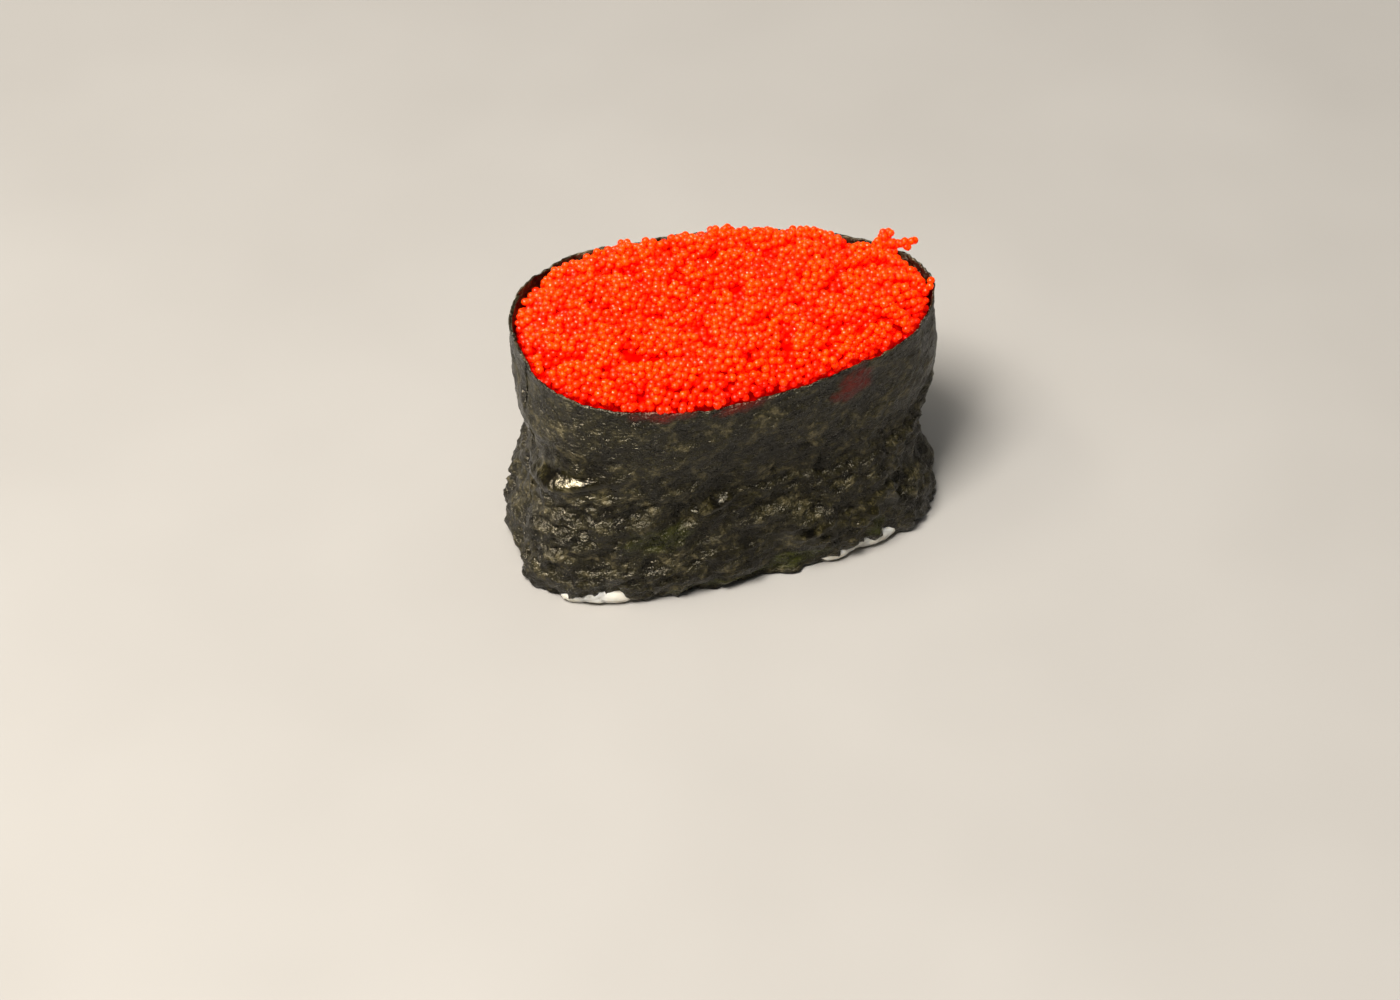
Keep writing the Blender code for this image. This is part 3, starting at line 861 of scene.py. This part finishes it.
def heap_height(x, y):
    """The height up to which eggs lie."""
    clots = CLOT_HEIGHT * noise.noise(Vector((x, y, CLOT_CUT)) / CLOT_SIZE)
    depth = (noise.noise(Vector((x, y, PIT_CUT)) / PIT_SIZE) - PIT_START) / (PIT_END - PIT_START)
    return smooth_heap(x, y) + clots - PIT_DEPTH * smooth_step(depth)


print("the heap's middle is at, mm:", round(smooth_heap(0.0, RIM_SHIFT_Y) / MM, 1))

# %% [markdown]
# Under the eggs lies a closed core, painted in deep red shade and given a painted red glow. It stands
# for the imported eggs that nobody sees, and any gap between the eggs on top shows only more red.

# %% The core under the eggs
CORE_DROP = 1.9 * MM  # its top is this far below the heap's
CORE_COLUMNS = 150
CORE_RINGS = 36
CORE_SIDE_ROWS = 8
CORE_BUMP = 0.3 * MM
CORE_BUMP_SIZE = EGG_SIZE_SHOWN * 0.6
CORE_INSET = 0.3 * MM
CORE_EDGE_DROP = 0.9 * MM  # it lies lower still beside the wall
CORE_EDGE_START = 0.85  # from this share of the way out
CORE_SIDE_INSET = 0.4 * MM
CORE_LOOK = (1.0 * MM, 0.8 * MM)  # half the arc and height over which the sheet is felt for
MERGE = 0.01 * MM


def make_core():
    """A grid bent into a cap: its first rows go up the band's inner face, and the rest over the top."""
    rows = CORE_SIDE_ROWS + CORE_RINGS
    work = bmesh.new()
    bmesh.ops.create_grid(work, x_segments=CORE_COLUMNS, y_segments=rows, size=0.5)
    base_share = (RICE_TOP + CLEARANCE) / BAND_HEIGHT
    for vertex in work.verts:
        angle = 2 * math.pi * (vertex.co.x + 0.5)
        row = (vertex.co.y + 0.5) * rows
        rim = rim_point(angle, -CORE_INSET)
        if row <= CORE_SIDE_ROWS - 0.5:
            top = (smooth_heap(rim.x, rim.y) - CORE_DROP - CORE_EDGE_DROP) / rim_height(rim.x)
            share = blend(base_share, top, row / CORE_SIDE_ROWS)
            fold = deepest_stand(angle, share, *CORE_LOOK)
            vertex.co = side_point(angle, share, fold - CORE_SIDE_INSET)
            continue
        out = min(1.0, (rows - row) / CORE_RINGS)
        x = rim.x * out
        y = RIM_SHIFT_Y + (rim.y - RIM_SHIFT_Y) * out
        grain = CORE_BUMP * noise.noise(Vector((x, y, 0)) / CORE_BUMP_SIZE)
        grain -= CORE_EDGE_DROP * smooth_step((out - CORE_EDGE_START) / (1 - CORE_EDGE_START))
        vertex.co = Vector((x, y, smooth_heap(x, y) - CORE_DROP + grain)) + FRAME_SHIFT
    bmesh.ops.remove_doubles(work, verts=work.verts, dist=MERGE)
    bmesh.ops.contextual_create(work, geom=[e for e in work.edges if e.is_boundary])
    bmesh.ops.recalc_face_normals(work, faces=work.faces)
    return finish_piece("roe_core", work, SHADED_CORE_MATERIAL, "roe_heap")


make_core()

# %% [markdown]
# Eggs are then dropped on the core one by one. Each tries a few places close by and keeps the
# lowest, which packs them as closely as real eggs, and one that would end up above the intended
# height is taken away. What is left has natural clumps and gaps, which no regular pattern and no
# pure scatter would give.

# %% Drop the eggs
EGG_DIAMETER = 0.98 * MM
EGG_SPREAD = 0.05  # eggs differ by this share in size
DROPS = 15000
WALL_DROPS = 5000  # as many more beside the wall, where there is less room
TRIES = 8
TRY_REACH = 0.55 * MM
TOP_ROUGHNESS = 0.22 * MM
TOP_LIFT = 0.2 * MM
OVERHANG = 0.55 * MM  # eggs lie this far out over the rim at most
OVERHANG_ANGLE = math.radians(250)  # on this side only, where the heap stands above the rim
OVERHANG_SPREAD = math.radians(24)
WALL_GAP = 0.02 * MM
EDGE_RING = 2.2 * MM
EDGE_SHY = 0.25 * MM  # elsewhere no egg comes nearer to the wall than this
NESTING = 0.81  # soft eggs press into each other: their centres come this share of the touching distance
CELL = EGG_DIAMETER * 1.12
FILL = (1.02, 1.03)  # drops start from this much past the rim, along X and Y
WALL_BELT = (0.9, 1.0)  # where the drops beside the wall start, as shares of the way out
CORE_STAND = 0.3  # radii by which an egg on the core stands above it
RIM_STAND = 0.75  # and one on the rim
SEED = 11


class Heap:
    """Eggs that lie on each other, kept in square cells so that neighbours are found fast."""

    def __init__(self):
        self.eggs = []
        self.cells = {}

    def rest(self, x, y, radius, floor):
        """The height at which an egg dropped here comes to rest."""
        column, row = int(x // CELL), int(y // CELL)
        height = floor
        for i in (column - 1, column, column + 1):
            for j in (row - 1, row, row + 1):
                for ox, oy, oz, other in self.cells.get((i, j), ()):
                    reach = (radius + other) * NESTING
                    gap = reach * reach - (ox - x) ** 2 - (oy - y) ** 2
                    if gap > 0:
                        height = max(height, oz + math.sqrt(gap))
        return height

    def put(self, x, y, z, radius):
        egg = (x, y, z, radius)
        self.eggs.append(egg)
        self.cells.setdefault((int(x // CELL), int(y // CELL)), []).append(egg)


def fill_heap(rng):
    """Drops eggs all over the cup and returns those that came to rest in the heap."""
    heap = Heap()
    for drop in range(DROPS + WALL_DROPS):
        angle = rng.uniform(0, 2 * math.pi)
        out = math.sqrt(rng.random()) if drop < DROPS else rng.uniform(*WALL_BELT)
        rim = RIM_TABLE[int(angle / (2 * math.pi) * RIM_TABLE_STEPS) % RIM_TABLE_STEPS]
        x0 = rim.x * out * FILL[0]
        y0 = RIM_SHIFT_Y + (rim.y - RIM_SHIFT_Y) * out * FILL[1]
        radius = EGG_DIAMETER / 2 * rng.gauss(1, EGG_SPREAD)
        best = None
        for _ in range(TRIES):
            x = x0 + rng.uniform(-TRY_REACH, TRY_REACH)
            y = y0 + rng.uniform(-TRY_REACH, TRY_REACH)
            _, toward, to_wall = centre_share(x, y)
            floor = smooth_heap(x, y) - CORE_DROP + radius * CORE_STAND
            floor -= CORE_EDGE_DROP * smooth_step((EDGE_RING - to_wall) / EDGE_RING)
            if to_wall < radius + WALL_GAP:
                floor = rim_height(x) + radius * RIM_STAND
            over = OVERHANG * bump(angle_between(toward, OVERHANG_ANGLE), 0, OVERHANG_SPREAD)
            if to_wall < EDGE_SHY - over:
                continue
            z = heap.rest(x, y, radius, floor)
            above = z + radius - TOP_LIFT - heap_height(x, y)
            if best is None or above < best[0]:
                best = (above, x, y, z)
        if best and best[0] < rng.uniform(-1, 1) * TOP_ROUGHNESS:
            heap.put(*best[1:], radius)
    return heap.eggs


EGGS = fill_heap(random.Random(SEED))
print("eggs in the heap:", len(EGGS))

# %% [markdown]
# A few eggs have left the heap: a loose crest of them stands on the wall at the back right, with a
# branch hooked over the rim, and single ones sit on the rim and on the inner face of the seaweed.

# %% Stray eggs
CREST_ANGLE = math.radians(27)
CREST_INSET = 1.1 * MM
CREST_SINK = 0.6 * MM
CREST_WAY = Vector((0.1, 0.2, 3.4)) * MM
CREST_EGGS = 62
CREST_SPREAD = (1.4 * MM, 0.6 * MM)
BRANCH_START = Vector((0.2, 0.1, 1.9)) * MM
BRANCH_WAY = Vector((3.1, -0.4, -0.3)) * MM
BRANCH_EGGS = 17
BRANCH_SPREAD = (0.35 * MM, 0.3 * MM)
STRAY_EGGS = (357, 353, 236, 251)  # angles of single eggs on the rim
STRAY_WANDER = 0.3  # in mm, across the rim
STRAY_STAND = Vector((0, 0, 0.4 * MM))
CLINGING_EGGS = 46
CLINGING_ARCS = ((100, 160), (350, 400))  # in degrees, where the heap is sunk
CLINGING_INSET = 0.5 * MM
CLINGING_DEPTHS = (0.7, 2.4)  # in mm below the rim
CLINGING_SINK = 0.6 * MM  # they go no further than this into the heap


def egg_trail(start, way, count, spread, rng):
    """Eggs strung along a line, thickest at its start."""
    trail = []
    for index in range(count):
        share = index / (count - 1)
        wide = blend(spread[0], spread[1], share)
        off = Vector([rng.uniform(-wide, wide) for _ in range(3)])
        trail.append((*(start + way * share + off), EGG_DIAMETER / 2 * rng.gauss(1, EGG_SPREAD)))
    return trail


def stray_eggs(rng):
    foot = form_point(CREST_ANGLE, 1.0, -CREST_INSET)
    foot.z -= CREST_SINK
    eggs = egg_trail(foot, CREST_WAY, CREST_EGGS, CREST_SPREAD, rng)
    eggs += egg_trail(foot + BRANCH_START, BRANCH_WAY, BRANCH_EGGS, BRANCH_SPREAD, rng)
    for degrees in STRAY_EGGS:
        spot = rim_point(math.radians(degrees), rng.uniform(-STRAY_WANDER, STRAY_WANDER) * MM)
        eggs.append((*(spot + STRAY_STAND), EGG_DIAMETER / 2))
    for _ in range(CLINGING_EGGS):
        angle = math.radians(rng.choice([rng.uniform(*arc) for arc in CLINGING_ARCS]))
        spot = rim_point(angle, -CLINGING_INSET)
        deepest = spot.z - smooth_heap(spot.x, spot.y) + CLINGING_SINK
        depth = min(rng.uniform(*CLINGING_DEPTHS) * MM, deepest)
        eggs.append((*(spot - Vector((0, 0, depth))), EGG_DIAMETER / 2 * rng.gauss(1, EGG_SPREAD)))
    return eggs


STRAYS = stray_eggs(random.Random(SEED + 1))
print("stray eggs:", len(STRAYS))

# %% [markdown]
# All eggs are copies of one small ball of a few dozen faces, joined into three meshes for the heap
# and one for the strays. Each is turned at random and squashed a little. Its painted shade comes from
# how deep it sits between its neighbours: eggs deep in pits are painted darker red, and eggs on top
# a lighter amber.

# %% Make the eggs
BALL_SEGMENTS = 10
BALL_RINGS = 6
PIT_LOOK = 1.9 * MM  # how far round an egg its neighbours shade it
PIT_STEPS = 6
# The heights over which the painted shade runs from a pit's deep red to the lit amber on top.
PAINTED_SHADE_LOW = -1.5 * MM
PAINTED_SHADE_HIGH = 0.7 * MM
TINT_SPREAD = 0.05
EGG_SQUASH = (0.94, 1.05)
FULL_TURN = 6.28  # radians


def painted_shade_of(x, y, z, radius, rng):
    """Painted shade: 0 for an egg deep in a pit, 1 for one that stands free on top, with a little random
    tone.
    """
    around = 0.0
    for step in range(PIT_STEPS):
        turn = 2 * math.pi * step / PIT_STEPS
        around += heap_height(x + PIT_LOOK * math.cos(turn), y + PIT_LOOK * math.sin(turn)) / PIT_STEPS
    stand = z + radius - around
    return (stand - PAINTED_SHADE_LOW) / (PAINTED_SHADE_HIGH - PAINTED_SHADE_LOW) + rng.gauss(0, TINT_SPREAD)


def make_eggs(name, eggs, rng):
    """One mesh of many small balls, each with its own painted shade."""
    ball = bmesh.new()
    bmesh.ops.create_uvsphere(ball, u_segments=BALL_SEGMENTS, v_segments=BALL_RINGS, radius=1.0)
    ball_mesh = bpy.data.meshes.new("ball")
    ball.to_mesh(ball_mesh)
    ball.free()
    work = bmesh.new()
    painted_shade_and_tone = work.verts.layers.float.new("painted_shade_and_tone")
    for x, y, z, radius in eggs:
        first = len(work.verts)
        work.from_mesh(ball_mesh)
        work.verts.ensure_lookup_table()
        value = min(1.0, max(0.0, painted_shade_of(x, y, z, radius, rng)))
        turn = Euler([rng.uniform(0, FULL_TURN) for _ in range(3)]).to_matrix()
        squash = Matrix.Diagonal([radius * rng.uniform(*EGG_SQUASH) for _ in range(3)])
        middle = Vector((x, y, z)) + FRAME_SHIFT
        for vertex in work.verts[first:]:
            vertex.co = middle + squash @ turn @ vertex.co
            vertex[painted_shade_and_tone] = value
    bpy.data.meshes.remove(ball_mesh)
    return finish_piece(name, work, EGG, "roe_heap")


# %% The layers of the heap
LAYERS = 3
BY_DEPTH = sorted(EGGS, key=lambda egg: egg[2] + egg[3] - heap_height(egg[0], egg[1]))
for layer in range(LAYERS):
    cut = [round(len(BY_DEPTH) * part / LAYERS) for part in (layer, layer + 1)]
    make_eggs(f"roe_layer_{layer + 1}", BY_DEPTH[cut[0] : cut[1]], random.Random(SEED + 2 + layer))
make_eggs("roe_strays", STRAYS, random.Random(SEED + 9))

# %% [markdown]
# Only slivers of rice show, under the band's lower edge and from below. A core fills the band, and
# single grains of true size lie over its foot, with their long sides along the wall as pressing
# turns them.

# %% Rice core
RICE_CORE_LIFT = 1.3 * MM
RICE_CORE_INSET = 0.5 * MM
RICE_CORE_COLUMNS = 120
RICE_CORE_ROWS = 16
RICE_CORE_LOOK = (1.3 * MM, 1.2 * MM)  # half the arc and height over which the sheet is felt for


def make_rice_core():
    """A grid wound into a wall and closed at both ends."""
    work = bmesh.new()
    bmesh.ops.create_grid(work, x_segments=RICE_CORE_COLUMNS, y_segments=RICE_CORE_ROWS, size=0.5)
    for vertex in work.verts:
        angle = 2 * math.pi * (vertex.co.x + 0.5)
        share = blend(RICE_CORE_LIFT, RICE_TOP, vertex.co.y + 0.5) / BAND_HEIGHT
        fold = deepest_stand(angle, share, *RICE_CORE_LOOK)
        vertex.co = side_point(angle, share, fold - RICE_CORE_INSET)
    bmesh.ops.remove_doubles(work, verts=work.verts, dist=MERGE)
    bmesh.ops.holes_fill(work, edges=[e for e in work.edges if e.is_boundary])
    bmesh.ops.recalc_face_normals(work, faces=work.faces)
    return finish_piece("rice_core", work, RICE, "rice_pad")


make_rice_core()

# %% [markdown]
# The grains lie in two rows along the foot, in rings on the underside, and a few more in each gap
# under the hem, where they come forward to be flush with the sheet. Each is one ball drawn out to a
# grain's length, flattened and bent a little, because a cooked grain is neither straight nor round.

# %% Where the rice grains lie
GRAIN_LENGTH = 5.8 * MM
GRAIN_WIDTH = 2.7 * MM
GRAIN_FLATNESS = 0.85
GRAIN_SEGMENTS = 8
GRAIN_RINGS = 7
GRAIN_SIZES = (0.9, 1.08)
GRAIN_BENDS = (0.0, 0.35)  # in mm
GRAIN_TURN_SPREAD = 0.18  # radians by which grains turn off the wall's direction
GRAIN_TILT_SPREAD = 0.10
UNDER_TILT_SPREAD = 0.08
WALL_STEP = 0.02  # radians to each side, to find the wall's direction
# Rows along the foot: inset behind the sheet and height in mm, and number of grains.
FOOT_ROWS = ((0.2, 1.3, 46), (0.5, 3.2, 44))
FOOT_WANDER = (-0.1, 0.3)  # in mm, up and down
GAP_GRAINS = 5  # more grains in each gap under the hem
GAP_INSET = -1.2  # in mm: they come forward, flush with the sheet
GAP_HEIGHTS = (0.7, 1.1)  # in mm
UNDER_SHARE = 0.03  # the share of the band's height at which the rings below are measured
UNDER_WANDER = 0.25  # in mm, upwards
UNDER_RINGS = ((3.6, 38), (6.4, 28), (9.2, 20), (12.0, 10))  # inset in mm and number of grains


def wall_grain(angle, height, inset, rng):
    """A grain that lies along the sheet: height and inset in mm."""
    share = height * MM / BAND_HEIGHT
    stand = deepest_stand(angle, share, GRAIN_LENGTH / 2, GRAIN_WIDTH / 2)
    middle = side_point(angle, share, stand - inset * MM - GRAIN_WIDTH / 2)
    ahead = side_point(angle + WALL_STEP, share) - side_point(angle - WALL_STEP, share)
    turn = math.atan2(ahead.y, ahead.x) + rng.gauss(0, GRAIN_TURN_SPREAD)
    return middle, turn, rng.gauss(0, GRAIN_TILT_SPREAD)


def grain_places(rng):
    """Where each grain lies: its middle, its turn about Z, and its tilt."""
    places = []
    for inset, height, count in FOOT_ROWS:
        for index in range(count):
            angle = 2 * math.pi * (index + rng.uniform(-0.25, 0.25)) / count
            places.append(wall_grain(angle, height + rng.uniform(*FOOT_WANDER), inset, rng))
    for gap, spread, _ in RICE_GAPS:
        for _ in range(GAP_GRAINS):
            angle = math.radians(gap + rng.uniform(-1, 1) * spread)
            places.append(wall_grain(angle, rng.uniform(*GAP_HEIGHTS), GAP_INSET, rng))
    for inset, count in UNDER_RINGS:
        for index in range(count):
            angle = 2 * math.pi * (index + rng.uniform(-0.3, 0.3)) / count
            middle = side_point(angle, UNDER_SHARE, -inset * MM)
            middle.z = GRAIN_WIDTH / 2 + rng.uniform(0, UNDER_WANDER) * MM
            places.append((middle, rng.uniform(0, math.pi), rng.gauss(0, UNDER_TILT_SPREAD)))
    return places


print("grains in the rows and rings:", sum(row[-1] for row in FOOT_ROWS + UNDER_RINGS))


# %% Make the rice grains
def make_grains(rng):
    """One mesh of grains: balls drawn out, flattened and bent a little."""
    ball = bmesh.new()
    bmesh.ops.create_uvsphere(ball, u_segments=GRAIN_SEGMENTS, v_segments=GRAIN_RINGS, radius=0.5)
    ball_mesh = bpy.data.meshes.new("grain")
    ball.to_mesh(ball_mesh)
    ball.free()
    work = bmesh.new()
    for middle, turn, tilt in grain_places(rng):
        first = len(work.verts)
        work.from_mesh(ball_mesh)
        work.verts.ensure_lookup_table()
        size = rng.uniform(*GRAIN_SIZES)
        sides = (GRAIN_WIDTH * size, GRAIN_WIDTH * GRAIN_FLATNESS * size, GRAIN_LENGTH * size)
        roll = Matrix.Rotation(rng.uniform(0, FULL_TURN), 3, "Z")
        lie = Euler((0, math.pi / 2 + tilt, turn)).to_matrix() @ roll
        bend = rng.uniform(*GRAIN_BENDS) * MM
        for vertex in work.verts[first:]:
            place = Vector([part * side for part, side in zip(vertex.co, sides)])
            place.x += bend * (1 - (2 * vertex.co.z) ** 2)
            vertex.co = middle + lie @ place
        lowest = min(vertex.co.z for vertex in work.verts[first:])
        for vertex in work.verts[first:]:
            vertex.co.z += max(0.0, -lowest)
    bpy.data.meshes.remove(ball_mesh)
    return finish_piece("rice_grains", work, RICE, "rice_pad")


make_grains(random.Random(SEED + 5))

# %% [markdown]
# The stage is not part of the piece. It starts with a plain pale floor of matt card, large enough
# to fill the view, with a faint unevenness in its tone so that it doesn't look like a screen.

# %% Floor
FLOOR_SIZE = 3.0
FLOOR_LIGHT = linear("#96938e")
FLOOR_SHADE = linear("#918e89")
FLOOR_PATCH = 40 * MM
FLOOR_ROUGHNESS = 0.8


def make_floor():
    work = bmesh.new()
    bmesh.ops.create_grid(work, x_segments=1, y_segments=1, size=FLOOR_SIZE / 2)
    mesh = bpy.data.meshes.new("floor")
    work.to_mesh(mesh)
    work.free()
    made, tree, place = empty_material("pale_matt_card")
    patch = add(tree, "ShaderNodeTexNoise", {"Vector": place, "Scale": 1 / FLOOR_PATCH}).outputs["Fac"]
    colour = add(
        tree, "ShaderNodeValToRGB", {"Fac": patch}, stops=((0.3, FLOOR_SHADE), (0.7, FLOOR_LIGHT))
    ).outputs["Color"]
    look = {"Base Color": colour, "Roughness": FLOOR_ROUGHNESS}
    shader = add(tree, "ShaderNodeBsdfPrincipled", look).outputs["BSDF"]
    add(tree, "ShaderNodeOutputMaterial", {"Surface": shader})
    mesh.materials.append(made)
    floor = bpy.data.objects.new("floor", mesh)
    bpy.context.scene.collection.objects.link(floor)
    print("floor:", FLOOR_SIZE, "m square")


make_floor()

# %% [markdown]
# One soft lamp stands overhead at the left, and gives the shadow and the small glint on each egg. A
# broad ceiling fills in without showing in reflections, because a veil of pale reflections would
# grey the dark seaweed. A narrow lamp does the opposite: it only shows in reflections, and draws
# the highlights along the seaweed's folds. A weak pale world keeps the deepest shadows from going
# black.

# %% Lights
SKY_COLOUR = linear("#eef0f2")
SKY_STRENGTH = 0.12
LIGHT_TARGET = Vector((0, 0, 0.02))
# Each lamp: its name, place and size in metres, power in watts, and colour.
OVERHEAD = ("overhead", (-0.20, -0.15, 0.56), (0.20, 0.20), 7.4, "#fffaf4")
CEILING = ("ceiling", (0.10, 0.05, 1.30), (1.3, 1.3), 7.0, "#fffdf8")
GLINT = ("glint", (-0.34, -0.02, 0.54), (0.34, 0.06), 22.0, "#fff0da")


def soft_light(name, place, size, power, colour):
    """A rectangular lamp that looks at the middle of the piece."""
    data = bpy.data.lights.new(name, "AREA")
    data.shape = "RECTANGLE"
    data.size, data.size_y = size
    data.energy = power
    data.color = linear(colour)[:3]
    light = bpy.data.objects.new(name, data)
    light.location = place
    light.rotation_euler = (LIGHT_TARGET - Vector(place)).to_track_quat("-Z", "Y").to_euler()
    bpy.context.scene.collection.objects.link(light)
    print(f"{name}: {power} W")
    return light


soft_light(*OVERHEAD)
soft_light(*CEILING).visible_glossy = False
soft_light(*GLINT).visible_diffuse = False

world = bpy.data.worlds.new("pale_room")
bpy.context.scene.world = world
world.use_nodes = True
world.node_tree.nodes["Background"].inputs["Color"].default_value = SKY_COLOUR
world.node_tree.nodes["Background"].inputs["Strength"].default_value = SKY_STRENGTH

# %% [markdown]
# The camera stands where the photographer did: some 35 cm away, 46 degrees up, and 15 degrees round
# to the -X end.

# %% Camera
CAMERA_AZIMUTH = math.radians(-15)
CAMERA_ELEVATION = math.radians(46)
CAMERA_DISTANCE = 345 * MM
CAMERA_TARGET = Vector((-2.86, 0.19, 0.0)) * MM
SENSOR_WIDTH = 36.0
LENS = 69.43
CLIP_START = 0.01


def make_camera():
    data = bpy.data.cameras.new("camera")
    data.sensor_width = SENSOR_WIDTH
    data.lens = LENS
    data.clip_start = CLIP_START
    camera = bpy.data.objects.new("camera", data)
    level = math.cos(CAMERA_ELEVATION)
    aside, behind = math.sin(CAMERA_AZIMUTH) * level, -math.cos(CAMERA_AZIMUTH) * level
    back = Vector((aside, behind, math.sin(CAMERA_ELEVATION)))
    camera.location = CAMERA_TARGET + back * CAMERA_DISTANCE
    camera.rotation_euler = (-back).to_track_quat("-Z", "Y").to_euler()
    bpy.context.scene.collection.objects.link(camera)
    bpy.context.scene.camera = camera


make_camera()
bpy.context.scene.view_settings.view_transform = "Standard"
print("camera at, mm:", [round(value / MM) for value in bpy.context.scene.camera.location])
